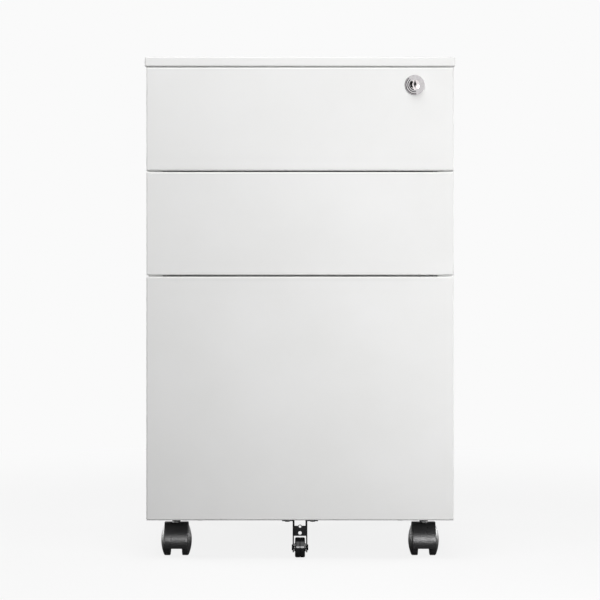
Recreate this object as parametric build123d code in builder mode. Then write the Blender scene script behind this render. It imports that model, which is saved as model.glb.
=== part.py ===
from build123d import *
import os

os.makedirs("parts", exist_ok=True)

# Fits
FIT = 0.05            # radial running fit of pins, stems and bores
CLEAR = 0.3           # between faces that pass each other

# Sheet steel
SHEET = 0.8           # body, fronts and drawers
STRONG_SHEET = 1.0    # base pan and slide uprights
FOLD_R = 0.8          # inner radius of a fold

# Body, with the drawer faces towards -Y and the origin on the floor under its middle
BODY_W = 366.0        # across the side panels and the drawer fronts
BODY_D = 450.0        # drawer faces to back
GROOVE_W = 17.0       # finger groove, inwards from the side
GROOVE_D = 16.0       # finger groove, backwards from the fronts
LIP_GAP = 2.0         # fronts to the inner lip of the groove
REAR_FLANGE = 15.0    # side panel turned in behind the back panel
BASE_LEDGE = 12.0     # side panel turned in under the base pan
BASE_H = 11.0         # upstand of the base pan
TOP_T = 11.4          # height of the top panel
TOP_OVERHANG = 2.0    # top panel past each side
TOP_LIP = 18.0        # top panel turned in underneath
RAIL_H = 14.0         # front tie rail, upright leg
RAIL_D = 12.0         # front tie rail, flat leg
UPRIGHT_W = 40.0      # slide upright, front to back
UPRIGHT_REAR = 34.0   # rear upright to the back

# Drawer fronts
FRONT_D = 18.0        # depth of a front
FRONT_EDGE = 1.6      # radius round the face
SEAM = 1.65           # between two fronts
TOP_SEAM = 1.2        # under the top panel
BOX_FRONT_H = 122.9
FILE_FRONT_H = 290.3

# Drawer boxes
TUB_L = 400.0         # front to back
TUB_HEM = 8.0         # rim turned in along the sides
BOX_LIFT = 8.0        # bottom of a box drawer above the edge of its front
BOX_HEADROOM = 38.5   # rim of a box drawer below the top of its front
FILE_LIFT = 14.0
FILE_HEADROOM = 19.5
FOLDER_SPAN = 330.0   # between the bars that carry hanging folders
FOLDER_BAR_H = 14.0
FOLDER_BAR_T = 2.0
FOLDER_BAR_SET = 22.0 # front bar behind the front

# Telescopic slides
SLIDE_T = 12.7        # drawer side to upright
SLIDE_L = 380.0
SLIDE_SET = 23.0      # front end of a slide behind the fronts
SLIDE_SHEET = 1.2
SLIDE_REACH = 9.2     # flange of an outer member
INNER_REACH = 8.0     # flange of an inner member
INNER_SHORT = 4.0     # inner member shorter than the outer
BOX_SLIDE_H = 35.0
BOX_SLIDE_RISE = 28.0 # middle of a slide above the drawer bottom
BOX_OVERLAP = 76.0    # left inside the outer member when a box drawer is open
BOX_BALL = 4.0        # ball diameter
CAGE_SHEET = 0.8      # ball cage
CAGE_GAP = 0.6        # ball cage to the inner member
CAGE_REACH = 6.4
CAGE_PITCH = 50.0     # between the balls of a row
FILE_SLIDE_H = 45.0
FILE_SLIDE_RISE = 128.0
FILE_BALL = 3.5
BALL_SINK = 0.3       # ball held in the middle member
BALL_PITCH = 120.0
MIDDLE_GAP = 0.7      # middle member to the outer one
ROW_BALLS = 2

# Casters, hooded twin wheels
WHEEL_R = 19.0
WHEEL_GAP = 14.6      # between the two treads
TREAD_W = 7.7
DOME = 3.5            # bulge of the outer face
DOME_DROP = 1.2       # rounding between tread and dome
RIM_T = 3.0
DISC_T = 2.2          # wheel disc behind the dome
HUB_R = 6.0
AXLE_R = 2.5
HOOD_GAP = 1.0        # hood over the wheels
HOOD_T = 2.6
HOOD_FLAT = 1.1       # left over the wheels where the top is flat
HOOD_W = 28.6
HOOD_EDGE = 0.9       # rounded rim of the hood
HOOD_FRONT = 23.0     # degrees, hood below the axle in front
HOOD_REAR = 20.0      # degrees, hood above the axle behind
FIN_W = 11.0          # fin between the wheels
FIN_DROP = 7.5        # fin below the axle
TRAIL = 3.0           # axle behind the stem
STEM_R = 4.0
STEM_IN = 14.0        # stem inside the hood
SOCKET_R = 5.0
COLLAR_H = 8.4        # hexagon of the stem between hood and base
COLLAR_AF = 8.6       # across flats
NUT_AF = 13.0
NUT_H = 5.0
STEM_OUT = 1.0        # stem above its nut
CASTER_SIDE = 33.0    # stem in from the side of the body
CASTER_FRONT = 49.0   # stem behind the drawer faces
CASTER_REAR = 27.0    # stem in from the back

# Fifth wheel under the file drawer front
TIP_R = 12.0
TIP_W = 12.0
TIP_HUB_R = 4.8
TIP_LIFT = 2.0        # clear of the floor
TIP_SET = 16.0        # axle behind the drawer face
TIP_GROOVE = 0.5      # groove round the middle of the tread
TIP_EDGE = 1.8        # rounded edge of the tread
TIP_AXLE_R = 2.0
RIVET_R = 3.6
RIVET_H = 1.1
BRACKET_T = 1.5
BRACKET_W = 17.6      # across the arms
BRACKET_SPAN = 43.0   # across the flanges
BRACKET_SET = 5.0     # front of the bracket behind the drawer face
ARM_END_R = 6.0       # rounded end of an arm
WEB_DROP = 7.0        # web below the flanges
WEB_H = 12.0
WEB_HOLE_R = 2.1
WEB_RIM = 1.4         # steel below the hole
TAB_HOLE_R = 1.5
TAB_R = 2.3
TAB_SET = 0.9         # hole below the edge of the web
SCREW_R = 1.9
SCREW_HEAD_R = 3.4
SCREW_HEAD_H = 1.2
SCREW_L = 5.0         # screw above the flange

# Lock and its bar
LOCK_OUT = 8.0        # plug in front of the drawer face
LOCK_SIDE = 46.5      # axis in from the side of the body
LOCK_DROP = 21.1      # axis below the top of the front
BEZEL_R = 12.0
BEZEL_H = 1.8
BEZEL_STEP = 1.4      # each ring in from the one below
CONE_H = 3.0
PLUG_R = 5.5
PLUG_PROUD = 0.8      # plug in front of the bezel
KEY_W = 1.3
KEY_H = 6.6
KEY_D = 12.0
BARREL_R = 9.0
BARREL_OUT = 7.0      # barrel behind the front
LOCK_NUT_AF = 24.0
LOCK_NUT_H = 4.0
CAM_R = 10.0
CAM_T = 2.0
CAM_GAP = 1.5         # cam behind the barrel
PIN_R = 2.0
PIN_ECC = 7.0         # pin off the axis
PIN_END = 1.5         # pin past the bar
LIFT_LAG = 0.211      # most that an even lift lags a turning pin, of its throw
BAR_T = 1.5
BAR_GAP = 2.2         # bar behind the stile
BAR_W = 12.0
BAR_EDGE = 2.0        # strip outwards of the groove lip
ARM_RIM = 4.5         # steel round the slot
HOOK_T = 1.5
HOOK_H = 9.0
HOOK_IN = 8.0         # hook inwards of the groove lip
HOOK_LAP = 6.0        # hook lapped on the bar
HOOK_EDGE = 1.0       # bevelled upper corner of a hook
CATCH_T = 1.2
CATCH_H = 8.0
CATCH_L = 20.0
CATCH_RISE = 12.5     # catch above its slide
CATCH_SIDE = 2.0      # tip of a catch to the groove lip
CATCH_GAP = 2.0       # catch behind the hooks
HOOK_GAP = 2.0        # hook under its catch when unlocked
GUIDE_H = 14.0
GUIDE_WALL = 2.0
GUIDE_OFF = 45.0      # guide above or below a hook

# Outer radius of a fold in body sheet
bend_r = SHEET + FOLD_R

# Heights that follow, from the floor up
hood_r = WHEEL_R + HOOD_GAP + HOOD_T
hood_top = 2 * WHEEL_R + HOOD_GAP + HOOD_FLAT
base_z = hood_top + CLEAR + COLLAR_H
body_z = base_z - SHEET
middle_z = body_z + FILE_FRONT_H + SEAM
top_z = middle_z + BOX_FRONT_H + SEAM
top_end = top_z + BOX_FRONT_H
deck_z = top_end + TOP_SEAM

# Depths that follow, from the drawer faces back
front_y = (LOCK_OUT - BODY_D) / 2
back_y = front_y + BODY_D
inside_y = front_y + FRONT_D
nose_y = inside_y + LIP_GAP
stile_y = inside_y + GROOVE_D
bar_y = stile_y + SHEET + BAR_GAP
hook_y = bar_y + BAR_T
catch_y = hook_y + HOOK_T + CATCH_GAP
slide_y = inside_y + SLIDE_SET
rail_y = catch_y + PIN_END + CLEAR
upright_front_y = rail_y + RAIL_D + FIT
upright_rear_y = back_y - UPRIGHT_REAR - UPRIGHT_W

# Widths that follow, from the middle out
half_w = BODY_W / 2
wall_x = half_w - SHEET
lip_x = half_w - GROOVE_W
tub_x = lip_x - SLIDE_T

# Drawers: bottom of the front, its height, tub bottom, tub rim, slide middle, slide height
box_drawers = {
    "top": top_z,
    "middle": middle_z,
}
drawers = {
    "file": (
        body_z,
        FILE_FRONT_H,
        body_z + FILE_LIFT,
        body_z + FILE_FRONT_H - FILE_HEADROOM,
        body_z + FILE_LIFT + FILE_SLIDE_RISE,
        FILE_SLIDE_H,
    )
}
for name, z in box_drawers.items():
    drawers[name] = (
        z,
        BOX_FRONT_H,
        z + BOX_LIFT,
        z + BOX_FRONT_H - BOX_HEADROOM,
        z + BOX_LIFT + BOX_SLIDE_RISE,
        BOX_SLIDE_H,
    )


def save(piece, name):
    """Name a finished piece and write it out."""
    piece.part.label = name
    export_step(piece.part, f"parts/{name}.step")


def folded_sheet(points, plane, length, thickness=SHEET):
    """Sheet folded along a path, its thickness to the left of the path."""
    with BuildPart() as sheet:
        with BuildSketch(plane):
            with BuildLine():
                fold = FilletPolyline(*points, radius=thickness + FOLD_R)
                offset(fold, amount=thickness, side=Side.LEFT)
            make_face()
        extrude(amount=length)
    return sheet.part


def section_at(y):
    """Upright plane across the cabinet, whose extrusions run towards the front."""
    return Plane.XZ.offset(-y)


# Side panels: one sheet folded into groove lip, stile, side and rear flange
side_path = [
    (lip_x, nose_y),
    (lip_x, stile_y),
    (half_w, stile_y),
    (half_w, back_y),
    (half_w - REAR_FLANGE, back_y),
]
with BuildPart() as right_side_panel:
    add(folded_sheet(side_path, Plane.XY.offset(body_z), deck_z - body_z))
    with Locations((wall_x, stile_y + SHEET, body_z)):
        Box(
            BASE_LEDGE,
            back_y - stile_y - 2 * SHEET,
            SHEET,
            align=(Align.MAX, Align.MIN, Align.MIN),
        )
save(right_side_panel, "right_side_panel")

with BuildPart() as left_side_panel:
    mirror(right_side_panel.part, about=Plane.YZ)
save(left_side_panel, "left_side_panel")

# Back panel: flat sheet behind the folded edges of the sides
with BuildPart() as back_panel:
    with Locations((0, back_y - SHEET, base_z)):
        Box(
            2 * (wall_x - bend_r),
            SHEET,
            deck_z - base_z,
            align=(Align.CENTER, Align.MAX, Align.MIN),
        )
save(back_panel, "back_panel")

# Caster places: name, stem x, stem y
caster_x = half_w - CASTER_SIDE
casters = {
    "front_left": (-caster_x, front_y + CASTER_FRONT),
    "front_right": (caster_x, front_y + CASTER_FRONT),
    "rear_left": (-caster_x, back_y - CASTER_REAR),
    "rear_right": (caster_x, back_y - CASTER_REAR),
}

# Base pan: tray between the sides that carries the casters
with BuildPart() as base_pan:
    with BuildSketch(Plane.XY.offset(base_z)):
        with Locations((0, stile_y + SHEET)):
            Rectangle(2 * wall_x, back_y - stile_y - 3 * SHEET, align=(Align.CENTER, Align.MIN))
        with Locations((0, nose_y)):
            Rectangle(2 * (lip_x - SHEET), stile_y + 2 * SHEET - nose_y, align=(Align.CENTER, Align.MIN))
    extrude(amount=BASE_H)
    fillet(base_pan.edges().filter_by(Axis.Z), bend_r)
    fillet(base_pan.edges().group_by(Axis.Z)[0], bend_r)
    offset(amount=-STRONG_SHEET, openings=base_pan.faces().sort_by(Axis.Z)[-1])
    with Locations([(x, y, base_z + STRONG_SHEET) for x, y in casters.values()]):
        Hole(STEM_R + FIT, depth=2 * STRONG_SHEET)
save(base_pan, "base_pan")

# Top panel: deep tray turned in all round underneath
with BuildPart() as top_panel:
    with Locations((0, front_y, deck_z)):
        Box(
            BODY_W + 2 * TOP_OVERHANG,
            BODY_D,
            TOP_T,
            align=(Align.CENTER, Align.MIN, Align.MIN),
        )
    fillet(top_panel.edges(), bend_r)
    offset(amount=-SHEET, mode=Mode.SUBTRACT)
    with BuildSketch(Plane.XY.offset(deck_z)):
        with Locations((0, front_y + BODY_D / 2)):
            Rectangle(BODY_W + 2 * (TOP_OVERHANG - TOP_LIP), BODY_D - 2 * TOP_LIP)
    extrude(amount=2 * SHEET, mode=Mode.SUBTRACT)
save(top_panel, "top_panel")

# Front tie rail: angle across the body above the top drawer
rail_path = [
    (rail_y + RAIL_D, deck_z),
    (rail_y, deck_z),
    (rail_y, deck_z - RAIL_H),
]
with BuildPart() as front_tie_rail:
    add(folded_sheet(rail_path, Plane.YZ.offset(-wall_x), 2 * wall_x))
save(front_tie_rail, "front_tie_rail")

# Slide uprights: channels between the sides and the slides
upright_z = base_z + BASE_H
with BuildPart() as slide_uprights:
    for y in (upright_front_y, upright_rear_y):
        upright_path = [
            (wall_x, y + UPRIGHT_W),
            (lip_x, y + UPRIGHT_W),
            (lip_x, y),
            (wall_x, y),
        ]
        upright_foot = Plane.XY.offset(upright_z)
        add(folded_sheet(upright_path, upright_foot, deck_z - upright_z, STRONG_SHEET))
    mirror(about=Plane.YZ)
save(slide_uprights, "slide_uprights")


def channel(web_x, tip_x, half_h, middle, front, length, thickness):
    """Rolled slide member: a web at web_x with two flanges that end at tip_x."""
    turn = 1 if web_x > tip_x else -1
    path = [
        (tip_x, middle - turn * half_h),
        (web_x, middle - turn * half_h),
        (web_x, middle + turn * half_h),
        (tip_x, middle + turn * half_h),
    ]
    return folded_sheet(path, section_at(front + length), length, thickness)


# Outer slide members, fixed to the uprights
outer_tip = lip_x - SLIDE_REACH
with BuildPart() as box_slide_outers:
    for name in box_drawers:
        slide_z = drawers[name][4]
        add(channel(lip_x, outer_tip, BOX_SLIDE_H / 2, slide_z, slide_y, SLIDE_L, SLIDE_SHEET))
    mirror(about=Plane.YZ)
save(box_slide_outers, "box_slide_outers")

file_slide_z = drawers["file"][4]
with BuildPart() as file_slide_outers:
    add(channel(lip_x, outer_tip, FILE_SLIDE_H / 2, file_slide_z, slide_y, SLIDE_L, SLIDE_SHEET))
    mirror(about=Plane.YZ)
save(file_slide_outers, "file_slide_outers")

# Ball cages of the box drawers, which travel half as far as the drawer
inner_l = SLIDE_L - INNER_SHORT
box_travel = inner_l - BOX_OVERLAP
cage_l = BOX_OVERLAP - 2 * CLEAR
cage_y = slide_y + CLEAR + box_travel / 2
cage_web = tub_x + INNER_REACH + CAGE_GAP + CAGE_SHEET
cage_tip = cage_web - CAGE_REACH
box_race = BOX_SLIDE_H / 2 - SLIDE_SHEET
box_inner_h = box_race - BOX_BALL - 2 * FIT
box_ball_z = (box_race + box_inner_h) / 2
box_ball_x = cage_tip + CLEAR + BOX_BALL / 2
cage_h = box_ball_z + CAGE_SHEET / 2
for name in box_drawers:
    slide_z = drawers[name][4]
    with BuildPart() as cage:
        add(channel(cage_web, cage_tip, cage_h, slide_z, cage_y, cage_l, CAGE_SHEET))
        for row in (-1, 1):
            with Locations((box_ball_x, cage_y + cage_l / 2, slide_z + row * box_ball_z)):
                with GridLocations(1, CAGE_PITCH, 1, ROW_BALLS):
                    Sphere(BOX_BALL / 2)
        mirror(about=Plane.YZ)
    save(cage, f"{name}_slide_cages")

# Middle members of the file slides, with their balls, which also travel half as far
middle_web = lip_x - SLIDE_SHEET - MIDDLE_GAP
file_race = FILE_SLIDE_H / 2 - SLIDE_SHEET
middle_h = file_race - FILE_BALL + BALL_SINK - FIT
outer_ball_z = middle_h - BALL_SINK + FILE_BALL / 2
inner_ball_z = middle_h - SLIDE_SHEET + BALL_SINK - FILE_BALL / 2
file_inner_h = inner_ball_z - FILE_BALL / 2 - FIT
row_l = (ROW_BALLS - 1) * BALL_PITCH
row_end = FILE_BALL + SLIDE_SHEET
rear_row_y = slide_y + inner_l - row_end - row_l / 2
front_row_y = slide_y + row_end + row_l / 2
file_ball_x = (middle_web + outer_tip) / 2
with BuildPart() as file_slide_middles:
    add(channel(middle_web, outer_tip, middle_h, file_slide_z, slide_y, inner_l, SLIDE_SHEET))
    for row in (-1, 1):
        with Locations(
            (file_ball_x, rear_row_y, file_slide_z + row * outer_ball_z),
            (file_ball_x, front_row_y, file_slide_z + row * inner_ball_z),
        ):
            with GridLocations(1, BALL_PITCH, 1, ROW_BALLS):
                Sphere(FILE_BALL / 2)
    mirror(about=Plane.YZ)
save(file_slide_middles, "file_slide_middles")

# Lock axis, on the top drawer front
lock_x = half_w - LOCK_SIDE
lock_z = top_end - LOCK_DROP
screw_x = (BRACKET_SPAN + BRACKET_W) / 4
screw_y = front_y + (BRACKET_SET + FRONT_D - SHEET) / 2

# Drawers: front, liner, tub, back, inner slide members and lock catch
for name, (front_z, front_h, tub_z, rim_z, slide_z, slide_h) in drawers.items():
    with BuildPart() as front:
        with Locations((0, front_y, front_z)):
            Box(BODY_W, FRONT_D, front_h, align=(Align.CENTER, Align.MIN, Align.MIN))
        fillet(front.faces().sort_by(Axis.Y)[0].edges(), FRONT_EDGE)
        offset(amount=-SHEET, openings=front.faces().sort_by(Axis.Y)[-1])
        if name == "top":
            with BuildSketch(section_at(inside_y)):
                with Locations((lock_x, lock_z)):
                    Circle(BARREL_R + FIT)
            extrude(amount=FRONT_D, mode=Mode.SUBTRACT)
        if name == "file":
            with Locations([(hand * screw_x, screw_y, front_z + SHEET) for hand in (-1, 1)]):
                Hole(SCREW_R + FIT, depth=2 * SHEET)
    save(front, f"{name}_front")

    with BuildPart() as liner:
        with BuildSketch(section_at(inside_y)):
            with Locations((0, front_z + front_h / 2)):
                Rectangle(BODY_W - 2 * SHEET, front_h - 2 * SHEET)
            if name == "top":
                with Locations((lock_x, lock_z)):
                    Circle(BARREL_R + FIT, mode=Mode.SUBTRACT)
        extrude(amount=SHEET)
    save(liner, f"{name}_front_liner")

    tub_path = [
        (-tub_x + TUB_HEM, rim_z),
        (-tub_x, rim_z),
        (-tub_x, tub_z),
        (tub_x, tub_z),
        (tub_x, rim_z),
        (tub_x - TUB_HEM, rim_z),
    ]
    with BuildPart() as tub:
        add(folded_sheet(tub_path, section_at(inside_y + TUB_L), TUB_L))
    save(tub, f"{name}_drawer_tub")

    with BuildPart() as tub_back:
        with BuildSketch(section_at(inside_y + TUB_L)):
            with Locations((0, (tub_z + rim_z) / 2)):
                RectangleRounded(2 * (tub_x - SHEET), rim_z - tub_z - 2 * SHEET, bend_r)
        extrude(amount=SHEET)
    save(tub_back, f"{name}_drawer_back")

    inner_h = file_inner_h if name == "file" else box_inner_h
    with BuildPart() as slide_inner:
        add(channel(tub_x, tub_x + INNER_REACH, inner_h, slide_z, slide_y, inner_l, SLIDE_SHEET))
        mirror(about=Plane.YZ)
    save(slide_inner, f"{name}_slide_inners")

    catch_z = slide_z + slide_h / 2 + CATCH_RISE
    catch_path = [
        (tub_x, catch_y + CATCH_L),
        (tub_x, catch_y),
        (lip_x - CATCH_SIDE, catch_y),
    ]
    with BuildPart() as catch:
        add(folded_sheet(catch_path, Plane.XY.offset(catch_z), CATCH_H, CATCH_T))
    save(catch, f"{name}_lock_catch")

# Bars across the file drawer for hanging folders, under the turned-in rims
file_rim = drawers["file"][3]
bar_front_y = inside_y + FOLDER_BAR_SET
with BuildPart() as file_folder_bars:
    for y in (bar_front_y, bar_front_y + FOLDER_SPAN):
        with BuildSketch(section_at(y + FOLDER_BAR_T)):
            with Locations((0, file_rim - SHEET - FOLDER_BAR_H / 2)):
                RectangleRounded(2 * (tub_x - SHEET), FOLDER_BAR_H, bend_r)
        extrude(amount=FOLDER_BAR_T)
save(file_folder_bars, "file_folder_bars")

# Lock housing: stepped bezel in front, barrel through the front and its liner
bezel_y = front_y - LOCK_OUT + PLUG_PROUD
cone_y = front_y - BEZEL_H - CONE_H
barrel_end = inside_y + BARREL_OUT
ring_r = BEZEL_R - BEZEL_STEP
nose_r = ring_r - BEZEL_STEP
bore_r = PLUG_R + FIT
lock_axis = Axis((lock_x, 0, lock_z), (0, 1, 0))
housing_profile = [
    (lock_x + bore_r, bezel_y),
    (lock_x + nose_r - BEZEL_STEP, bezel_y),
    (lock_x + nose_r - BEZEL_STEP / 2, cone_y),
    (lock_x + nose_r, cone_y),
    (lock_x + ring_r, front_y - BEZEL_H),
    (lock_x + BEZEL_R, front_y - BEZEL_H + BEZEL_STEP / 2),
    (lock_x + BEZEL_R, front_y),
    (lock_x + BARREL_R, front_y),
    (lock_x + BARREL_R, barrel_end),
    (lock_x + bore_r, barrel_end),
]
with BuildPart() as lock_housing:
    with BuildSketch(Plane.XY.offset(lock_z)):
        Polygon(*housing_profile, align=None)
    revolve(axis=lock_axis)
save(lock_housing, "lock_housing")

with BuildPart() as lock_nut:
    with BuildSketch(section_at(inside_y + LOCK_NUT_H)):
        with Locations((lock_x, lock_z)):
            RegularPolygon(LOCK_NUT_AF / 2, 6, major_radius=False)
            Circle(BARREL_R + FIT, mode=Mode.SUBTRACT)
    extrude(amount=LOCK_NUT_H)
save(lock_nut, "lock_nut")

# Lock plug with its upright keyway, and the cam on its inner end
cam_y = barrel_end + CAM_GAP
with BuildPart() as lock_plug:
    with BuildSketch(section_at(cam_y)):
        with Locations((lock_x, lock_z)):
            Circle(PLUG_R)
    extrude(amount=cam_y - front_y + LOCK_OUT)
    chamfer(lock_plug.faces().sort_by(Axis.Y)[0].edges(), PLUG_PROUD / 2)
    with BuildSketch(section_at(front_y - LOCK_OUT + KEY_D)):
        with Locations((lock_x, lock_z)):
            Rectangle(KEY_W, KEY_H)
    extrude(amount=KEY_D, mode=Mode.SUBTRACT)
save(lock_plug, "lock_plug")

with BuildPart() as lock_cam:
    with BuildSketch(section_at(cam_y + CAM_T)):
        with Locations((lock_x, lock_z)):
            Circle(CAM_R)
    extrude(amount=CAM_T)
    with BuildSketch(section_at(hook_y + PIN_END)):
        with Locations((lock_x + PIN_ECC, lock_z)):
            Circle(PIN_R)
    extrude(amount=hook_y + PIN_END - cam_y - CAM_T)
save(lock_cam, "lock_cam")

# Lock bar: flat strip up the right side, lifted by the cam pin in its slot
pin_play = LIFT_LAG * PIN_ECC
slot_h = 2 * (PIN_R + pin_play + CLEAR)
slot_l = PIN_ECC + 2 * (PIN_R + CLEAR)
strip_x = lip_x + BAR_EDGE
arm_z = lock_z - slot_h / 2 - ARM_RIM
arm_top = lock_z + slot_h / 2 + ARM_RIM
arm_end = lock_x - PIN_R - CLEAR - ARM_RIM
hook_tops = {}
for name, (front_z, front_h, tub_z, rim_z, slide_z, slide_h) in drawers.items():
    hook_tops[name] = slide_z + slide_h / 2 + CATCH_RISE - HOOK_GAP
bar_z = hook_tops["file"] - HOOK_H
with BuildPart() as lock_bar:
    with BuildSketch(section_at(hook_y)):
        with Locations((strip_x, bar_z)):
            Rectangle(BAR_W, arm_top - bar_z, align=Align.MIN)
        with Locations((arm_end, arm_z)):
            Rectangle(strip_x - arm_end, arm_top - arm_z, align=Align.MIN)
        with Locations((lock_x + PIN_ECC / 2, lock_z)):
            Rectangle(slot_l, slot_h, mode=Mode.SUBTRACT)
    extrude(amount=BAR_T)
save(lock_bar, "lock_bar")

# Hooks riveted behind the bar, one under each drawer catch
with BuildPart() as lock_bar_hooks:
    with BuildSketch(section_at(hook_y + HOOK_T)):
        with Locations([(strip_x + HOOK_LAP, z) for z in hook_tops.values()]):
            Rectangle(HOOK_IN + BAR_EDGE + HOOK_LAP, HOOK_H, align=Align.MAX)
    extrude(amount=HOOK_T)
    inner_corners = lock_bar_hooks.edges().filter_by(Axis.Y).group_by(Axis.X)[0]
    chamfer(inner_corners, HOOK_EDGE)
save(lock_bar_hooks, "lock_bar_hooks")

# Nylon guides that hold the lock bar against the stile
guide_back = hook_y + CLEAR + GUIDE_WALL
with BuildPart() as lock_bar_guides:
    for z in (hook_tops["file"] + GUIDE_OFF, hook_tops["top"] - HOOK_H - GUIDE_OFF):
        with BuildSketch(Plane.XY.offset(z)):
            with Locations((wall_x, stile_y + SHEET)):
                Rectangle(
                    wall_x - strip_x + CLEAR + GUIDE_WALL,
                    guide_back - stile_y - SHEET,
                    align=(Align.MAX, Align.MIN),
                )
            with Locations((strip_x - CLEAR, bar_y - CLEAR)):
                Rectangle(BAR_W + 2 * CLEAR, BAR_T + 2 * CLEAR, align=Align.MIN, mode=Mode.SUBTRACT)
        extrude(amount=GUIDE_H)
    fillet(lock_bar_guides.edges().filter_by(Axis.Z).group_by(Axis.X)[-1], bend_r)
save(lock_bar_guides, "lock_bar_guides")

# Caster stems with their hexagon collars, and the nuts on the base pan
stem_z = hood_top - STEM_IN
nut_z = base_z + STRONG_SHEET
with BuildPart() as caster_stems:
    with BuildSketch(Plane.XY.offset(stem_z)):
        with Locations(list(casters.values())):
            Circle(STEM_R)
    extrude(amount=nut_z + NUT_H + STEM_OUT - stem_z)
    with BuildSketch(Plane.XY.offset(hood_top + CLEAR)):
        with Locations(list(casters.values())):
            RegularPolygon(COLLAR_AF / 2, 6, major_radius=False)
    extrude(amount=COLLAR_H)
save(caster_stems, "caster_stems")

with BuildPart() as caster_nuts:
    with BuildSketch(Plane.XY.offset(nut_z)):
        with Locations(list(casters.values())):
            RegularPolygon(NUT_AF / 2, 6, major_radius=False)
            Circle(STEM_R + FIT, mode=Mode.SUBTRACT)
    extrude(amount=NUT_H)
save(caster_nuts, "caster_nuts")

# Casters: hood with fin and stem socket, axle, and two domed wheels
wheel_in = WHEEL_GAP / 2
tread_out = wheel_in + TREAD_W
wheel_out = tread_out + DOME
hub_in = FIN_W / 2 + CLEAR
axle_end = tread_out + DOME / 2 - DISC_T / 2
hood_sweep = 180 + HOOD_FRONT - HOOD_REAR
for place, (stem_x, stem_y) in casters.items():
    axle_y = stem_y + TRAIL
    axle = (axle_y, WHEEL_R)
    with BuildPart() as hood:
        with BuildSketch(Plane.YZ.offset(stem_x - HOOD_W / 2)):
            with BuildLine():
                outer_arc = CenterArc(axle, hood_r, HOOD_REAR, hood_sweep)
                inner_arc = CenterArc(axle, hood_r - HOOD_T, HOOD_REAR, hood_sweep)
                Line(outer_arc @ 0, inner_arc @ 0)
                Line(outer_arc @ 1, inner_arc @ 1)
            make_face()
        extrude(amount=HOOD_W)
        rims = hood.edges().filter_by(GeomType.CIRCLE)
        fillet(rims.filter_by(lambda rim: rim.radius > hood_r - HOOD_T / 2), HOOD_EDGE)
        with BuildSketch(Plane.YZ.offset(stem_x - FIN_W / 2)):
            with BuildLine():
                fin_arc = CenterArc(axle, hood_r - HOOD_T / 2, HOOD_REAR, hood_sweep)
                Polyline(
                    fin_arc @ 1,
                    (axle_y - FIN_DROP, WHEEL_R - FIN_DROP),
                    (axle_y + FIN_DROP, WHEEL_R - FIN_DROP),
                    fin_arc @ 0,
                )
            make_face()
        extrude(amount=FIN_W)
        with Locations((stem_x, axle_y, hood_top)):
            Box(
                HOOD_W,
                2 * hood_r,
                HOOD_T,
                align=(Align.CENTER, Align.CENTER, Align.MIN),
                mode=Mode.SUBTRACT,
            )
        with BuildSketch(Plane.XY.offset(stem_z)):
            with Locations((stem_x, stem_y)):
                Circle(SOCKET_R)
        extrude(amount=STEM_IN)
        with BuildSketch(Plane.XY.offset(stem_z - CLEAR)):
            with Locations((stem_x, stem_y)):
                Circle(STEM_R + FIT)
        extrude(amount=STEM_IN + CLEAR, mode=Mode.SUBTRACT)
        with BuildSketch(Plane.YZ.offset(stem_x - FIN_W / 2)):
            with Locations(axle):
                Circle(AXLE_R + FIT)
        extrude(amount=FIN_W, mode=Mode.SUBTRACT)
    save(hood, f"{place}_caster_hood")

    with BuildPart() as caster_axle:
        with BuildSketch(Plane.YZ.offset(stem_x - axle_end + CLEAR)):
            with Locations(axle):
                Circle(AXLE_R)
        extrude(amount=2 * (axle_end - CLEAR))
    save(caster_axle, f"{place}_caster_axle")

    for side, hand in (("left", -1), ("right", 1)):
        with BuildPart() as wheel:
            with BuildSketch(section_at(axle_y)):
                with BuildLine():
                    run = [
                        (wheel_out, 0),
                        (axle_end, 0),
                        (axle_end, AXLE_R + FIT),
                        (hub_in, AXLE_R + FIT),
                        (hub_in, HUB_R),
                        (tread_out - DISC_T, HUB_R),
                        (tread_out - DISC_T, WHEEL_R - RIM_T),
                        (wheel_in, WHEEL_R - RIM_T),
                        (wheel_in, WHEEL_R - DOME_DROP / 2),
                        (wheel_in + DOME_DROP / 2, WHEEL_R),
                        (tread_out - DOME_DROP, WHEEL_R),
                        (tread_out, WHEEL_R - DOME_DROP),
                    ]
                    corners = [(stem_x + hand * x, WHEEL_R + r) for x, r in run]
                    Polyline(*corners)
                    TangentArc(corners[0], corners[-1], tangent=(0, 1))
                make_face()
            revolve(axis=Axis((stem_x, axle_y, WHEEL_R), (1, 0, 0)))
        save(wheel, f"{place}_caster_wheel_{side}")

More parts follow.
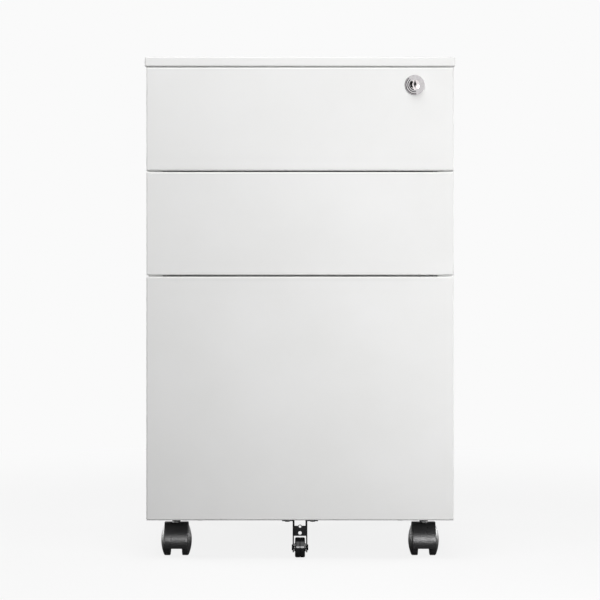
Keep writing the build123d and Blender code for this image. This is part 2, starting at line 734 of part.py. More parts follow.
# Fifth wheel: bracket under the file drawer front, roller and riveted axle
tip_y = front_y + TIP_SET
tip_z = TIP_LIFT + TIP_R
bracket_y = front_y + BRACKET_SET
flange_z = body_z - BRACKET_T
arm_x = BRACKET_W / 2
arm_back = max(inside_y, tip_y + ARM_END_R)
bracket_path = [
    (-arm_x, arm_back),
    (-arm_x, bracket_y),
    (arm_x, bracket_y),
    (arm_x, arm_back),
]
foot_z = tip_z - ARM_END_R
web_z = body_z - WEB_DROP
with BuildPart() as tip_bracket:
    add(folded_sheet(bracket_path, Plane.XY.offset(foot_z), body_z - foot_z, BRACKET_T))
    with BuildSketch(Plane.YZ.offset(-arm_x)):
        with BuildLine():
            end_arc = CenterArc((tip_y, tip_z), ARM_END_R, 180, 180)
            Polyline(
                end_arc @ 0,
                (bracket_y, web_z - WEB_H),
                (bracket_y, body_z),
                (inside_y, body_z),
                end_arc @ 1,
            )
        make_face()
    extrude(amount=BRACKET_W, mode=Mode.INTERSECT)
    with Locations((0, bracket_y, web_z)):
        Box(
            BRACKET_W - 2 * (BRACKET_T + FOLD_R),
            2 * BRACKET_T,
            WEB_DROP,
            align=(Align.CENTER, Align.CENTER, Align.MIN),
            mode=Mode.SUBTRACT,
        )
    with Locations((0, bracket_y, web_z - WEB_H)):
        Box(
            BRACKET_W - 2 * BRACKET_T,
            2 * (BRACKET_T + FOLD_R),
            web_z - WEB_H - foot_z,
            align=(Align.CENTER, Align.CENTER, Align.MAX),
            mode=Mode.SUBTRACT,
        )
    with BuildSketch(section_at(bracket_y + BRACKET_T)):
        with Locations((0, web_z - TAB_SET)):
            Circle(TAB_R)
    extrude(amount=BRACKET_T)
    with BuildSketch(section_at(bracket_y + BRACKET_T)):
        with Locations((0, web_z - TAB_SET)):
            Circle(TAB_HOLE_R)
        with Locations((0, web_z - WEB_H + WEB_RIM + WEB_HOLE_R)):
            Circle(WEB_HOLE_R)
    extrude(amount=BRACKET_T, mode=Mode.SUBTRACT)
    for hand in (-1, 1):
        with BuildSketch(Plane.XY.offset(flange_z)):
            with Locations((hand * screw_x, (bracket_y + inside_y) / 2)):
                Rectangle(BRACKET_SPAN / 2 - arm_x, inside_y - bracket_y)
            with Locations((hand * screw_x, screw_y)):
                Circle(SCREW_R + FIT, mode=Mode.SUBTRACT)
        extrude(amount=BRACKET_T)
    with BuildSketch(Plane.YZ.offset(-arm_x)):
        with Locations((tip_y, tip_z)):
            Circle(TIP_AXLE_R + FIT)
    extrude(amount=BRACKET_W, mode=Mode.SUBTRACT)
save(tip_bracket, "tip_bracket")

with BuildPart() as tip_axle:
    with BuildSketch(Plane.YZ.offset(-arm_x)):
        with Locations((tip_y, tip_z)):
            Circle(TIP_AXLE_R)
    extrude(amount=BRACKET_W)
    for hand in (-1, 1):
        with BuildSketch(Plane.YZ.offset(hand * arm_x)):
            with Locations((tip_y, tip_z)):
                Circle(RIVET_R)
        extrude(amount=hand * RIVET_H)
    heads = tip_axle.edges().filter_by(GeomType.CIRCLE).group_by(Axis.X)
    fillet(heads[0] + heads[-1], RIVET_H / 2)
save(tip_axle, "tip_axle")

tip_half = TIP_W / 2
hub_half = arm_x - BRACKET_T - CLEAR
half_profile = [
    (hub_half, TIP_AXLE_R + FIT),
    (hub_half, TIP_HUB_R),
    (tip_half, TIP_HUB_R),
    (tip_half, TIP_R),
    (TIP_GROOVE, TIP_R),
    (0, TIP_R - TIP_GROOVE),
]
tip_profile = half_profile + [(-x, r) for x, r in reversed(half_profile[:-1])]
with BuildPart() as tip_wheel:
    with BuildSketch(section_at(tip_y)) as tip_section:
        Polygon(*[(x, tip_z + r) for x, r in tip_profile], align=None)
        tread_corners = tip_section.vertices().group_by(Axis.Y)[-1].sort_by(Axis.X)
        fillet([tread_corners[0], tread_corners[-1]], TIP_EDGE)
    revolve(axis=Axis((0, tip_y, tip_z), (1, 0, 0)))
save(tip_wheel, "tip_wheel")

# Pan-head screws that hold the bracket to the front
with BuildPart() as tip_screws:
    for hand in (-1, 1):
        with BuildSketch(Plane.XY.offset(flange_z - SCREW_HEAD_H)):
            with Locations((hand * screw_x, screw_y)):
                Circle(SCREW_HEAD_R)
        extrude(amount=SCREW_HEAD_H)
        with BuildSketch(Plane.XY.offset(flange_z)):
            with Locations((hand * screw_x, screw_y)):
                Circle(SCREW_R)
        extrude(amount=SCREW_L)
    fillet(tip_screws.edges().group_by(Axis.Z)[0], SCREW_HEAD_H / 2)
save(tip_screws, "tip_screws")

print(f"height {deck_z + TOP_T:.1f}, drawer face at y {front_y:.1f}, box travel {box_travel:.1f}")
for name, row in drawers.items():
    print(name, [round(value, 2) for value in row])
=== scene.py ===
import math

import bmesh
import bpy
from mathutils import Matrix, Vector


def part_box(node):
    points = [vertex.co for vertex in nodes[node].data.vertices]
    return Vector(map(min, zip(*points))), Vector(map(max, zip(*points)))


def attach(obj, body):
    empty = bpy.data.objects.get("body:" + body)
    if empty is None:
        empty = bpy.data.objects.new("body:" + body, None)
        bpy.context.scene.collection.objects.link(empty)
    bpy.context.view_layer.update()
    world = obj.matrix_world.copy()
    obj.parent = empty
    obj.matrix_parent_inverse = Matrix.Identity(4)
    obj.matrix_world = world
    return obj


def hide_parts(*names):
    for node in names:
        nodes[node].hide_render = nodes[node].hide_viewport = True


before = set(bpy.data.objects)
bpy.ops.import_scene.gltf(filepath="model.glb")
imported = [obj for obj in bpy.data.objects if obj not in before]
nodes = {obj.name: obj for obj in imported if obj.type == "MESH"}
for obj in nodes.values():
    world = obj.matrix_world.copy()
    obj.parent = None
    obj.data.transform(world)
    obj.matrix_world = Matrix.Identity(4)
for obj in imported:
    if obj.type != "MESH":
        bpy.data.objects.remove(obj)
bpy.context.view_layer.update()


# Cabinet shell: side panels, back, base pan, tie rail and top tray, folded from 0.8 and 1 mm sheet steel.
# They are spot welded, sprayed with white powder and baked.
# The coat is a satin skin with a faint orange peel.
def add_node(tree, kind, values):
    """Adds a shader node; a value that is a socket gets linked, any other value gets set."""
    made = tree.nodes.new(kind)
    for name, value in values.items():
        if isinstance(value, bpy.types.NodeSocket):
            tree.links.new(value, made.inputs[name])
        else:
            made.inputs[name].default_value = value
    return made


def new_group(name, inputs, outputs):
    """Starts a shader node group with these sockets; returns it with its input and output nodes."""
    group = bpy.data.node_groups.new(name, "ShaderNodeTree")
    for socket, kind in inputs.items():
        group.interface.new_socket(socket, in_out="INPUT", socket_type=kind)
    for socket, kind in outputs.items():
        group.interface.new_socket(socket, in_out="OUTPUT", socket_type=kind)
    return group, group.nodes.new("NodeGroupInput"), group.nodes.new("NodeGroupOutput")


def make_drift_group():
    """Slow patches over a surface, from one colour and roughness to another."""
    mix_factor = 0
    mix_from = 6
    mix_to = 7
    mix_color = 2
    group, given, result = new_group(
        "finish_drift",
        {
            "Vector": "NodeSocketVector",
            "Scale": "NodeSocketFloat",
            "Light": "NodeSocketColor",
            "Dark": "NodeSocketColor",
            "Smooth": "NodeSocketFloat",
            "Rough": "NodeSocketFloat",
        },
        {"Color": "NodeSocketColor", "Roughness": "NodeSocketFloat"},
    )
    patches = add_node(
        group,
        "ShaderNodeTexNoise",
        {
            "Vector": given.outputs["Vector"],
            "Scale": given.outputs["Scale"],
            "Detail": 4.0,
            "Roughness": 0.55,
        },
    )
    share = add_node(
        group,
        "ShaderNodeMapRange",
        {"Value": patches.outputs["Fac"], "From Min": 0.35, "From Max": 0.65},
    )
    blend = group.nodes.new("ShaderNodeMix")
    blend.data_type = "RGBA"
    group.links.new(share.outputs["Result"], blend.inputs[mix_factor])
    group.links.new(given.outputs["Light"], blend.inputs[mix_from])
    group.links.new(given.outputs["Dark"], blend.inputs[mix_to])
    gloss = add_node(
        group,
        "ShaderNodeMapRange",
        {
            "Value": share.outputs["Result"],
            "To Min": given.outputs["Smooth"],
            "To Max": given.outputs["Rough"],
        },
    )
    group.links.new(blend.outputs[mix_color], result.inputs["Color"])
    group.links.new(gloss.outputs["Result"], result.inputs["Roughness"])
    return group


def make_grain_group():
    """Fine relief of a coating or a moulded skin, as a height from a coarse and a fine noise."""
    fine_share = 0.35
    group, given, result = new_group(
        "skin_grain",
        {"Vector": "NodeSocketVector", "Coarse": "NodeSocketFloat", "Fine": "NodeSocketFloat"},
        {"Height": "NodeSocketFloat"},
    )
    coarse = add_node(
        group,
        "ShaderNodeTexNoise",
        {"Vector": given.outputs["Vector"], "Scale": given.outputs["Coarse"], "Detail": 1.0},
    )
    fine = add_node(
        group,
        "ShaderNodeTexNoise",
        {"Vector": given.outputs["Vector"], "Scale": given.outputs["Fine"], "Detail": 2.0},
    )
    height = add_node(
        group,
        "ShaderNodeMath",
        {0: fine.outputs["Fac"], 1: fine_share, 2: coarse.outputs["Fac"]},
    )
    height.operation = "MULTIPLY_ADD"
    group.links.new(height.outputs[0], result.inputs["Height"])
    return group


drift_group = make_drift_group()
grain_group = make_grain_group()
FINE_PER_COARSE = 3


def make_finish(
    name, light, dark, patch, gloss, grain, relief, metallic=0.0, specular=0.5, stretch=(1, 1, 1)
):
    """A finish with slow patches and fine relief; patch, grain and relief are in metres."""
    material = bpy.data.materials.new(name)
    material.use_nodes = True
    tree = material.node_tree
    shader = tree.nodes["Principled BSDF"]
    coords = tree.nodes.new("ShaderNodeTexCoord")
    placed = add_node(tree, "ShaderNodeMapping", {"Vector": coords.outputs["Object"], "Scale": stretch})
    drift = tree.nodes.new("ShaderNodeGroup")
    drift.node_tree = drift_group
    tree.links.new(placed.outputs["Vector"], drift.inputs["Vector"])
    drift.inputs["Scale"].default_value = 1 / patch
    drift.inputs["Light"].default_value = (*light, 1)
    drift.inputs["Dark"].default_value = (*dark, 1)
    drift.inputs["Smooth"].default_value = gloss[0]
    drift.inputs["Rough"].default_value = gloss[1]
    skin = tree.nodes.new("ShaderNodeGroup")
    skin.node_tree = grain_group
    tree.links.new(placed.outputs["Vector"], skin.inputs["Vector"])
    skin.inputs["Coarse"].default_value = 1 / grain
    skin.inputs["Fine"].default_value = FINE_PER_COARSE / grain
    bump = add_node(tree, "ShaderNodeBump", {"Distance": relief, "Height": skin.outputs["Height"]})
    tree.links.new(drift.outputs["Color"], shader.inputs["Base Color"])
    tree.links.new(drift.outputs["Roughness"], shader.inputs["Roughness"])
    tree.links.new(bump.outputs["Normal"], shader.inputs["Normal"])
    shader.inputs["Metallic"].default_value = metallic
    shader.inputs["Specular IOR Level"].default_value = specular
    return material


def dress(material, *names):
    """Gives these frame nodes a finish."""
    for name in names:
        nodes[name].material_slots[0].material = material


white_coat = make_finish(
    "white_powder_coat",
    light=(0.875, 0.875, 0.870),
    dark=(0.860, 0.860, 0.852),
    patch=0.09,
    gloss=(0.50, 0.56),
    grain=0.0016,
    relief=0.00002,
    specular=0.3,
)
dress(white_coat, "left_side_panel", "right_side_panel", "back_panel")
dress(white_coat, "base_pan", "top_panel", "front_tie_rail")

# Slide uprights and outer slide members: channels of zinc plated steel, bluish and yellowish in patches.
# The uprights are welded inside the sides.
# Two domed rivets hold each outer member of a box drawer on them.
MILLIMETRE = 0.001
RIVET_R = 3.0
RIVET_H = 0.9
RIVET_CROWN = 0.35
RIVET_RIM = [(0.68, 0.86), (0.90, 0.52), (1, 0)]
SLIDE_SHEET = 0.0012
UPRIGHT_W = 0.040
MERGE_REACH = 0.000001
SHARP_EDGE = math.radians(33)

zinc_plate = make_finish(
    "zinc_plate",
    light=(0.66, 0.67, 0.69),
    dark=(0.56, 0.56, 0.55),
    patch=0.012,
    gloss=(0.26, 0.40),
    grain=0.0012,
    relief=0.00001,
    metallic=1.0,
    stretch=(1, 0.12, 1),
)
dress(zinc_plate, "slide_uprights", "box_slide_outers", "file_slide_outers")


def grow_rim(shape, steps):
    """Carries the open rim of a shape outwards and down, in steps of radius and height about Z."""
    for radius, height in steps:
        rim = [edge for edge in shape.edges if edge.is_boundary]
        made = bmesh.ops.extrude_edge_only(shape, edges=rim)["geom"]
        corners = [item for item in made if isinstance(item, bmesh.types.BMVert)]
        share = radius / max(corner.co.xy.length for corner in corners)
        drop = height - max(corner.co.z for corner in corners)
        bmesh.ops.scale(shape, vec=(share, share, 1), verts=corners)
        bmesh.ops.translate(shape, vec=(0, 0, drop), verts=corners)
    bmesh.ops.holes_fill(shape, edges=[edge for edge in shape.edges if edge.is_boundary])


def add_part(shape, part, spot, outward):
    """Adds a part drawn in millimetres along Z to a shape, at a spot in metres, facing outwards."""
    turn = Vector(outward).to_track_quat("Z", "Y").to_matrix().to_4x4()
    mesh = bpy.data.meshes.new("part")
    part.to_mesh(mesh)
    mesh.transform(Matrix.Translation(spot) @ turn @ Matrix.Scale(MILLIMETRE, 4))
    shape.from_mesh(mesh)
    bpy.data.meshes.remove(mesh)


def make_piece(name, shape, body, slot, *materials):
    """Turns a shape into a piece of the cabinet that rides on a body."""
    bmesh.ops.remove_doubles(shape, verts=shape.verts, dist=MERGE_REACH)
    bmesh.ops.recalc_face_normals(shape, faces=shape.faces)
    for face in shape.faces:
        face.smooth = True
    mesh = bpy.data.meshes.new(name)
    shape.to_mesh(mesh)
    shape.free()
    mesh.set_sharp_from_angle(angle=SHARP_EDGE)
    for material in materials:
        mesh.materials.append(material)
    piece = bpy.data.objects.new(name, mesh)
    bpy.context.scene.collection.objects.link(piece)
    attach(piece, body)
    return piece


def make_rivet_head():
    """A domed rivet head that stands on Z = 0."""
    head = bmesh.new()
    bmesh.ops.create_circle(head, cap_ends=True, segments=24, radius=RIVET_CROWN * RIVET_R)
    bmesh.ops.translate(head, vec=(0, 0, RIVET_H), verts=head.verts)
    grow_rim(head, [(share * RIVET_R, rise * RIVET_H) for share, rise in RIVET_RIM])
    return head


def middle(name):
    """The middle of a frame node's box."""
    low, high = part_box(name)
    return (low + high) / 2


def make_slide_rivets():
    """Rivets through the webs of the four box drawer slides, over the uprights."""
    shape = bmesh.new()
    head = make_rivet_head()
    low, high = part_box("slide_uprights")
    web_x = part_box("box_slide_outers")[1].x - SLIDE_SHEET
    for drawer in ("top", "middle"):
        web_z = middle(f"{drawer}_slide_inners").z
        for y in (low.y + UPRIGHT_W / 2, high.y - UPRIGHT_W / 2):
            for side in (-1, 1):
                add_part(shape, head, (side * web_x, y, web_z), (-side, 0, 0))
    head.free()
    make_piece("slide_rivets", shape, "cabinet", "zinc_plated_steel", zinc_plate)


make_slide_rivets()

# Ball cages and middle slide members: thin pressed channels that run between the outer and inner members.
# The cages carry hardened steel balls in rows, pressed into pockets above and below.
BALL_R = 1.98
BALL_IN = 0.0041
BALL_RISE = 0.01425
BALL_PITCH = 0.0125

ball_steel = make_finish(
    "ball_steel",
    light=(0.60, 0.60, 0.61),
    dark=(0.52, 0.52, 0.52),
    patch=0.002,
    gloss=(0.08, 0.16),
    grain=0.0004,
    relief=0.000001,
    metallic=1.0,
)
dress(zinc_plate, "top_slide_cages", "middle_slide_cages", "file_slide_middles")


def make_ball_rows(drawer):
    """The balls in the middle of each row of a drawer's two cages."""
    shape = bmesh.new()
    ball = bmesh.new()
    bmesh.ops.create_uvsphere(ball, u_segments=16, v_segments=10, radius=BALL_R)
    cage = middle(f"{drawer}_slide_cages")
    ball_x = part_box(f"{drawer}_slide_cages")[1].x - BALL_IN
    for side in (-1, 1):
        for rise in (-BALL_RISE, BALL_RISE):
            for step in (-1, 0, 1):
                spot = (side * ball_x, cage.y + step * BALL_PITCH, cage.z + rise)
                add_part(shape, ball, spot, (0, 0, 1))
    ball.free()
    make_piece(f"{drawer}_slide_balls", shape, f"{drawer}_cages", "zinc_plated_steel", ball_steel)


for drawer in ("top", "middle"):
    make_ball_rows(drawer)

# Drawers: a pan-shaped front with a liner behind, a tub folded from one sheet, and a back.
# All are of sheet steel, coated like the body; catches and folder bars are zinc plated.
# Pan-head screws with a cross recess hold the inner slide members on the tub.
SCREW_R = 3.0
SCREW_H = 1.2
SCREW_END = 0.030
INNER_WEB_X = 0.1545
HEAD_CROWN = 0.58
HEAD_RIM = [(0.86, 0.88), (0.97, 0.58), (1, 0.25), (1, 0)]
CROSS_HALF = 0.13
CROSS_REACH = 0.44
CROSS_DEPTH = 0.55
CROSS_TAPER = 0.75

for drawer in ("top", "middle", "file"):
    dress(white_coat, f"{drawer}_front", f"{drawer}_front_liner")
    dress(white_coat, f"{drawer}_drawer_tub", f"{drawer}_drawer_back")
    dress(zinc_plate, f"{drawer}_slide_inners", f"{drawer}_lock_catch")
dress(zinc_plate, "file_folder_bars")


def sink(shape, inside, depth, taper=1.0):
    """Sinks the faces of a top whose middle is inside an outline."""
    region = [face for face in shape.faces if inside(face.calc_center_median())]
    made = bmesh.ops.extrude_face_region(shape, geom=region)["geom"]
    bmesh.ops.delete(shape, geom=region, context="FACES")
    corners = [item for item in made if isinstance(item, bmesh.types.BMVert)]
    bmesh.ops.scale(shape, vec=(taper, taper, 1), verts=corners)
    bmesh.ops.translate(shape, vec=(0, 0, -depth), verts=corners)


def cut_across(shape, point, normal):
    """Cuts every face of a shape along a plane."""
    everything = shape.verts[:] + shape.edges[:] + shape.faces[:]
    bmesh.ops.bisect_plane(shape, geom=everything, plane_co=point, plane_no=normal)


def make_cross_head(radius, height, shank=None):
    """A pan head with a cross recess that stands on Z = 0, with a shank of radius and length below."""
    slot_half = CROSS_HALF * radius
    slot_reach = CROSS_REACH * radius
    head = bmesh.new()
    bmesh.ops.create_circle(head, cap_ends=True, segments=32, radius=HEAD_CROWN * radius)
    bmesh.ops.translate(head, vec=(0, 0, height), verts=head.verts)
    for cut in (-slot_reach, -slot_half, slot_half, slot_reach):
        cut_across(head, (cut, 0, 0), (1, 0, 0))
        cut_across(head, (0, cut, 0), (0, 1, 0))

    def in_cross(spot):
        narrow = min(abs(spot.x), abs(spot.y))
        wide = max(abs(spot.x), abs(spot.y))
        return narrow < slot_half and wide < slot_reach

    sink(head, in_cross, CROSS_DEPTH * height, CROSS_TAPER)
    rim = [(share * radius, rise * height) for share, rise in HEAD_RIM]
    if shank:
        shank_r, shank_l = shank
        rim += [(shank_r, 0), (shank_r, -shank_l)]
    grow_rim(head, rim)
    return head


def make_slide_screws(drawer):
    """Three screws in each inner slide member of a drawer."""
    shape = bmesh.new()
    head = make_cross_head(SCREW_R, SCREW_H)
    low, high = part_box(f"{drawer}_slide_inners")
    centre = (low + high) / 2
    for side in (-1, 1):
        for y in (low.y + SCREW_END, centre.y, high.y - SCREW_END):
            add_part(shape, head, (side * INNER_WEB_X, y, centre.z), (side, 0, 0))
    head.free()
    make_piece(f"{drawer}_slide_screws", shape, f"{drawer}_drawer", "zinc_plated_steel", zinc_plate)


for drawer in ("top", "middle", "file"):
    make_slide_screws(drawer)

# Lock: a die cast housing with a stepped bezel, pushed through the top front and held by a nut.
# The bezel is chrome plated; the turned plug is nickel plated, with a keyway punched in its face.
# Cam, bar and hooks are of zinc plated steel, and the bar runs in two nylon guides.
BORE_R = 5.55
BEZEL_TOP = 3.3
BEZEL_RINGS = [(6.55, 0.95), (8.65, 0.95), (10.9, 0.95), (12.0, 0.4)]
CHAMFER_LEAN = math.radians(40)
BARREL_R = 9.0
BARREL_L = 25.0
PLUG_R = 5.5
PLUG_TOP = 8.0
PLUG_END = -26.5
PLUG_RADII = [PLUG_R, 4.4, 3.3, 3.2, 3.1, 1.5, 0]
PLUG_FLAT = 3.2
PLUG_LEAN = math.radians(15)
KEY_RISE = 0.5
KEY_SLOT = (0.6, 4.3)
KEY_FLARE = (1.9, 4.1)
KEY_DEPTH = 5.0
KEY_SLACK = 0.001
TURN_STEPS = 72
TURN_MERGE = 0.0001

chrome = make_finish(
    "chrome_plate",
    light=(0.67, 0.65, 0.66),
    dark=(0.60, 0.58, 0.59),
    patch=0.003,
    gloss=(0.06, 0.10),
    grain=0.0008,
    relief=0.000002,
    metallic=1.0,
)
plug_nickel = make_finish(
    "plug_nickel",
    light=(0.88, 0.83, 0.83),
    dark=(0.82, 0.77, 0.77),
    patch=0.003,
    gloss=(0.06, 0.10),
    grain=0.0008,
    relief=0.000002,
    metallic=1.0,
)
# Near-black finish for the keyway's floor and walls: painted shade in the recess.
keyway_painted_shade = make_finish(
    "keyway_painted_shade",
    light=(0.05, 0.05, 0.05),
    dark=(0.03, 0.03, 0.03),
    patch=0.002,
    gloss=(0.45, 0.60),
    grain=0.0005,
    relief=0.00001,
)
guide_nylon = make_finish(
    "guide_nylon",
    light=(0.78, 0.76, 0.69),
    dark=(0.72, 0.70, 0.62),
    patch=0.006,
    gloss=(0.42, 0.52),
    grain=0.0010,
    relief=0.00001,
)
dress(zinc_plate, "lock_nut", "lock_cam", "lock_bar", "lock_bar_hooks")
dress(guide_nylon, "lock_bar_guides")


def spin_profile(points, closed):
    """A shape turned about Z from points of radius and height."""
    turned = bmesh.new()
    corners = [turned.verts.new((radius, 0, height)) for radius, height in points]
    for here, there in zip(corners, corners[1:]):
        turned.edges.new((here, there))
    if closed:
        turned.edges.new((corners[-1], corners[0]))
    bmesh.ops.spin(
        turned,
        geom=turned.verts[:] + turned.edges[:],
        cent=(0, 0, 0),
        axis=(0, 0, 1),
        angle=math.tau,
        steps=TURN_STEPS,
        use_merge=True,
    )
    bmesh.ops.remove_doubles(turned, verts=turned.verts, dist=TURN_MERGE)
    bmesh.ops.recalc_face_normals(turned, faces=turned.faces)
    return turned


def lock_spot():
    """Where the lock's axis meets the face of the top front."""
    axis = middle("lock_plug")
    return (axis.x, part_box("top_front")[0].y, axis.z)


def bezel_profile():
    """Flat rings, each with a chamfer down to the next ring outside it, and the barrel behind."""
    points = [(BORE_R, BEZEL_TOP)]
    height = BEZEL_TOP
    for outer, chamfer in BEZEL_RINGS:
        points.append((outer - chamfer, height))
        height -= chamfer * math.tan(CHAMFER_LEAN)
        points.append((outer, height))
    bezel_r = BEZEL_RINGS[-1][0]
    return points + [(bezel_r, 0), (BARREL_R, 0), (BARREL_R, -BARREL_L), (BORE_R, -BARREL_L)]


def make_lock_housing():
    """The stepped bezel with its barrel."""
    housing = spin_profile(bezel_profile(), closed=True)
    shape = bmesh.new()
    add_part(shape, housing, lock_spot(), (0, -1, 0))
    housing.free()
    piece = make_piece("lock_bezel", shape, "top_drawer", "chromed_lock", chrome)
    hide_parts("lock_housing")


def make_lock_plug():
    """The plug with a coned rim and its keyway, an upright slot that flares in the middle."""
    slope = math.tan(PLUG_LEAN)
    points = [(radius, PLUG_TOP - max(0, radius - PLUG_FLAT) * slope) for radius in PLUG_RADII]
    plug = spin_profile(points, closed=False)
    half, reach = KEY_SLOT
    flare_half, flare_reach = KEY_FLARE
    for side in (-1, 1):
        cut_across(plug, (side * half, 0, 0), (1, 0, 0))
        cut_across(plug, (0, KEY_RISE + side * reach, 0), (0, 1, 0))
        for slant in (-1, 1):
            cut_across(plug, (side * flare_half, KEY_RISE, 0), (flare_reach * side, flare_half * slant, 0))

    def in_keyway(spot):
        across = abs(spot.x)
        along = abs(spot.y - KEY_RISE)
        in_slot = across < half + KEY_SLACK and along < reach + KEY_SLACK
        return in_slot or across / flare_half + along / flare_reach < 1 + KEY_SLACK

    sink(plug, in_keyway, KEY_DEPTH)
    # The faces inside the keyway take the near-black finish, painted shade in the recess.
    for face in plug.faces:
        if in_keyway(face.calc_center_median()):
            face.material_index = 1
    grow_rim(plug, [(PLUG_R, PLUG_END)])
    shape = bmesh.new()
    add_part(shape, plug, lock_spot(), (0, -1, 0))
    plug.free()
    piece = make_piece("lock_key_plug", shape, "lock_cylinder", "chromed_lock", plug_nickel, keyway_painted_shade)
    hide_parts("lock_plug")


make_lock_housing()
make_lock_plug()

# Casters: two wheels under a barrel-shaped hood, moulded in black nylon with a satin spark-eroded skin.
# The steel stem, with its hexagon collar, has a dark metal finish and is fastened by a nut on the base
# pan.
caster_nylon = make_finish(
    "caster_nylon",
    light=(0.044, 0.044, 0.045),
    dark=(0.034, 0.034, 0.035),
    patch=0.008,
    gloss=(0.27, 0.34),
    grain=0.0016,
    relief=0.00022,
    specular=1.0,
)
axle_steel = make_finish(
    "axle_steel",
    light=(0.55, 0.55, 0.56),
    dark=(0.46, 0.46, 0.46),
    patch=0.004,
    gloss=(0.22, 0.34),
    grain=0.0006,
    relief=0.000004,
    metallic=1.0,
)
dark_stem_steel = make_finish(
    "dark_stem_steel",
    light=(0.10, 0.10, 0.10),
    dark=(0.06, 0.06, 0.06),
    patch=0.004,
    gloss=(0.24, 0.34),
    grain=0.0006,
    relief=0.000004,
    metallic=1.0,
)
for place in ("front_left", "front_right", "rear_left", "rear_right"):
    caster = f"{place}_caster"
    dress(caster_nylon, f"{caster}_hood", f"{caster}_wheel_left", f"{caster}_wheel_right")
    dress(axle_steel, f"{caster}_axle")
dress(dark_stem_steel, "caster_stems")
dress(zinc_plate, "caster_nuts")

# Fifth wheel: a bracket of 1.5 mm steel under the file drawer, dipped in black, with a riveted axle.
# Its roller is turned black plastic with a groove round the tread.
# Two cross-head screws hold the bracket's flanges from below.
TIP_SCREW_R = 3.4
TIP_SCREW_H = 1.2
TIP_SHANK = (1.9, 5.0)

black_coat = make_finish(
    "black_coat",
    light=(0.009, 0.009, 0.010),
    dark=(0.007, 0.007, 0.008),
    patch=0.006,
    gloss=(0.22, 0.30),
    grain=0.0010,
    relief=0.00001,
    specular=0.12,
)
roller_black = make_finish(
    "roller_black",
    light=(0.020, 0.020, 0.021),
    dark=(0.014, 0.014, 0.015),
    patch=0.005,
    gloss=(0.11, 0.17),
    grain=0.0012,
    relief=0.00001,
    specular=1.0,
)
dress(black_coat, "tip_bracket", "tip_axle")
dress(roller_black, "tip_wheel")


def make_tip_screws():
    """The two screws that hold the bracket from below."""
    shape = bmesh.new()
    head = make_cross_head(TIP_SCREW_R, TIP_SCREW_H, TIP_SHANK)
    low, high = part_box("tip_screws")
    reach = TIP_SCREW_R * MILLIMETRE
    for x in (low.x + reach, high.x - reach):
        add_part(shape, head, (x, (low.y + high.y) / 2, low.z + TIP_SCREW_H * MILLIMETRE), (0, 0, -1))
    head.free()
    piece = make_piece("tip_cross_screws", shape, "file_drawer", "black_coated_steel", black_coat)
    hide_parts("tip_screws")


make_tip_screws()

# Stage: a pale floor that fades to white away from the cabinet, and a white surround.
# One soft lamp stands low in front on the right, one hangs above, and two behind light the back and sides.
# Cards that only mirrors see give the dark arcs on the lock and the bright bands on casters and roller.
# The dark card under the cabinet is also a painted shadow: mirrors see it in place of the cabinet's shadow
# on the floor.
FLOOR_R = 9.0
FLOOR_FADE = (1.5, 0.5)
FLOOR_PALE = (0.10, 0.10, 0.10, 1)
FLOOR_GLOW = 0.895
WHITE = (0.956, 0.956, 0.956, 1)
SURROUND_LIGHT = 0.03
DARK_SHINE = 0.02
FRONT_SHINE = 6.0
RIGHT_SHINE = 9.3
LEFT_CARD_TOP = 2.2
FLOOR_CARD_Z = 0.002
UNDER_SHADOW_CARD_Z = 0.001
FRONT_CARD_Z = (0.06, 0.50)
RIGHT_CARD_Z = (0.045, 0.495)


def seen_directly(tree):
    """One where a camera, mirror or glass ray looks straight at a surface, and nought for light."""
    path = tree.nodes.new("ShaderNodeLightPath")
    shiny = tree.nodes.new("ShaderNodeMath")
    shiny.operation = "MAXIMUM"
    tree.links.new(path.outputs["Is Glossy Ray"], shiny.inputs[0])
    tree.links.new(path.outputs["Is Transmission Ray"], shiny.inputs[1])
    seen = tree.nodes.new("ShaderNodeMath")
    seen.operation = "MAXIMUM"
    tree.links.new(path.outputs["Is Camera Ray"], seen.inputs[0])
    tree.links.new(shiny.outputs[0], seen.inputs[1])
    return seen.outputs[0]


def add_stage(name, shape, material):
    """Adds a shape to the scene on its own, not attached to any body of the cabinet."""
    mesh = bpy.data.meshes.new(name)
    shape.to_mesh(mesh)
    shape.free()
    mesh.materials.append(material)
    holder = bpy.data.objects.new(name, mesh)
    bpy.context.scene.collection.objects.link(holder)
    return holder


def make_floor():
    """A round floor at the level of the wheels, which keeps the cabinet's shadow."""
    material = bpy.data.materials.new("floor")
    material.use_nodes = True
    tree = material.node_tree
    tree.nodes.remove(tree.nodes["Principled BSDF"])
    coords = tree.nodes.new("ShaderNodeTexCoord")
    reach = add_node(tree, "ShaderNodeVectorMath", {0: coords.outputs["Object"]})
    reach.operation = "LENGTH"
    near = add_node(
        tree,
        "ShaderNodeMapRange",
        {"Value": reach.outputs["Value"], "From Min": FLOOR_FADE[0], "From Max": FLOOR_FADE[1]},
    )
    near.interpolation_type = "SMOOTHSTEP"
    pale = add_node(tree, "ShaderNodeBsdfDiffuse", {"Color": FLOOR_PALE})
    white = add_node(tree, "ShaderNodeEmission", {"Color": WHITE, "Strength": 1.0})
    shade = add_node(tree, "ShaderNodeBsdfDiffuse", {"Color": FLOOR_PALE})
    glow = add_node(tree, "ShaderNodeEmission", {"Color": WHITE, "Strength": FLOOR_GLOW})
    shaded = add_node(tree, "ShaderNodeAddShader", {0: shade.outputs[0], 1: glow.outputs[0]})
    around = add_node(
        tree,
        "ShaderNodeMixShader",
        {0: near.outputs["Result"], 1: white.outputs[0], 2: shaded.outputs[0]},
    )
    final = add_node(
        tree,
        "ShaderNodeMixShader",
        {0: seen_directly(tree), 1: pale.outputs[0], 2: around.outputs[0]},
    )
    tree.links.new(final.outputs[0], tree.nodes["Material Output"].inputs["Surface"])
    shape = bmesh.new()
    bmesh.ops.create_circle(shape, cap_ends=True, segments=96, radius=FLOOR_R)
    add_stage("floor", shape, material)


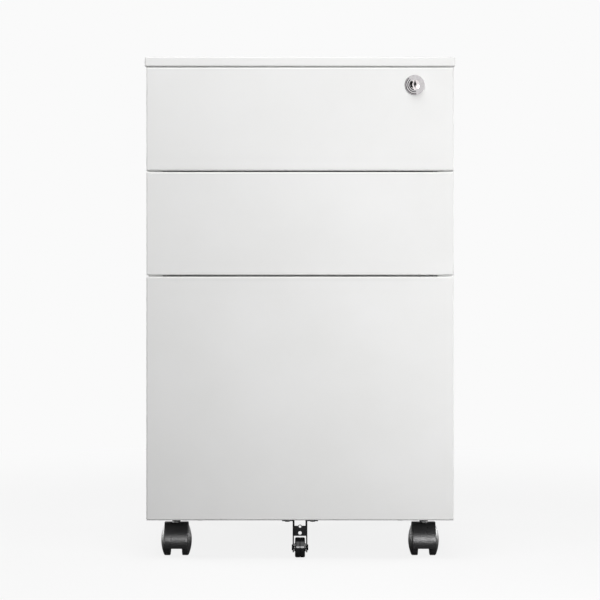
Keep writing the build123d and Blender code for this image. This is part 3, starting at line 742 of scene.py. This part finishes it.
def make_surround():
    """World light: dim for lighting, white where it is looked at."""
    world = bpy.data.worlds.new("surround")
    world.use_nodes = True
    tree = world.node_tree
    dim = tree.nodes["Background"]
    dim.inputs["Color"].default_value = (1, 1, 1, 1)
    dim.inputs["Strength"].default_value = SURROUND_LIGHT
    white = add_node(tree, "ShaderNodeBackground", {"Color": WHITE, "Strength": 1.0})
    mix = add_node(
        tree,
        "ShaderNodeMixShader",
        {0: seen_directly(tree), 1: dim.outputs[0], 2: white.outputs[0]},
    )
    tree.links.new(mix.outputs[0], tree.nodes["World Output"].inputs["Surface"])
    bpy.context.scene.world = world


def make_card(name, corners, shine):
    """A dark or a bright card that only mirrors see."""
    material = bpy.data.materials.new(name)
    material.use_nodes = True
    tree = material.node_tree
    tree.nodes.remove(tree.nodes["Principled BSDF"])
    paper = add_node(tree, "ShaderNodeEmission", {"Color": WHITE, "Strength": shine})
    tree.links.new(paper.outputs[0], tree.nodes["Material Output"].inputs["Surface"])
    shape = bmesh.new()
    shape.faces.new([shape.verts.new(corner) for corner in corners])
    card = add_stage(name, shape, material)
    card.visible_camera = False
    card.visible_diffuse = False
    card.visible_shadow = False


def upright_card(name, start, end, low, high, shine):
    """A card that stands on the line from start to end, between two heights."""
    make_card(name, [(*start, low), (*end, low), (*end, high), (*start, high)], shine)


def flat_card(name, outline, height, shine):
    """A card that lies over the floor."""
    make_card(name, [(*corner, height) for corner in outline], shine)


def soft_box(name, place, target, size, watts, mirrored=True):
    """A rectangular lamp that faces the target; one that isn't mirrored gives no glints."""
    lamp = bpy.data.lights.new(name, "AREA")
    lamp.shape = "RECTANGLE"
    lamp.size, lamp.size_y = size
    lamp.energy = watts
    holder = bpy.data.objects.new(name, lamp)
    bpy.context.scene.collection.objects.link(holder)
    holder.location = place
    holder.rotation_euler = (Vector(target) - Vector(place)).to_track_quat("-Z", "Y").to_euler()
    holder.visible_camera = False
    holder.visible_glossy = mirrored


make_floor()
make_surround()
upright_card("left_card", (-0.30, -1.75), (-1.05, -0.30), 0, LEFT_CARD_TOP, DARK_SHINE)
flat_card(
    "floor_card",
    [(-0.19, -1.8), (-0.19, -0.3), (-1.05, -0.3), (-0.54, -1.8)],
    FLOOR_CARD_Z,
    DARK_SHINE,
)
# Dark card under the cabinet: painted shadow of the cabinet on the floor, seen only in mirrors.
flat_card(
    "under_shadow_card",
    [(-0.3, -0.46), (0.1, -0.46), (0.3, -0.36), (0.3, 0.3), (-0.3, 0.3)],
    UNDER_SHADOW_CARD_Z,
    DARK_SHINE,
)
upright_card("front_card", (-0.34, -1.80), (0.08, -1.80), *FRONT_CARD_Z, FRONT_SHINE)
upright_card("right_card", (0.08, -1.98), (1.08, -1.64), *RIGHT_CARD_Z, RIGHT_SHINE)
soft_box(
    "front_box",
    place=(0.415, -0.978, 0.259),
    target=(0.05, -0.22, 0.259),
    size=(1.06, 0.45),
    watts=4.95,
    mirrored=False,
)
soft_box(
    "top_box",
    place=(-0.12, -0.817, 1.486),
    target=(0.05, -0.22, 0.40),
    size=(1.2, 0.9),
    watts=15.9,
    mirrored=False,
)
for name, x in (("rear_right_box", 1.9), ("rear_left_box", -1.9)):
    soft_box(name, place=(x, 1.35, 0.45), target=(0.0, 0.1, 0.35), size=(1.6, 0.8), watts=36.0)

# Camera: level, in front of the middle of the cabinet and a little above half its height.
# A long lens and a small shift frame the cabinet as the photograph does.
CAMERA_PLACE = (0.0, -2.721, 0.330)
CAMERA_TILT = math.radians(90)

camera_data = bpy.data.cameras.new("camera")
camera_data.sensor_width = 36.0
camera_data.lens = 126.0
camera_data.shift_y = -0.0274
camera = bpy.data.objects.new("camera", camera_data)
bpy.context.scene.collection.objects.link(camera)
camera.location = CAMERA_PLACE
camera.rotation_euler = (CAMERA_TILT, 0, 0)
bpy.context.scene.camera = camera
bpy.context.scene.view_settings.view_transform = "Standard"
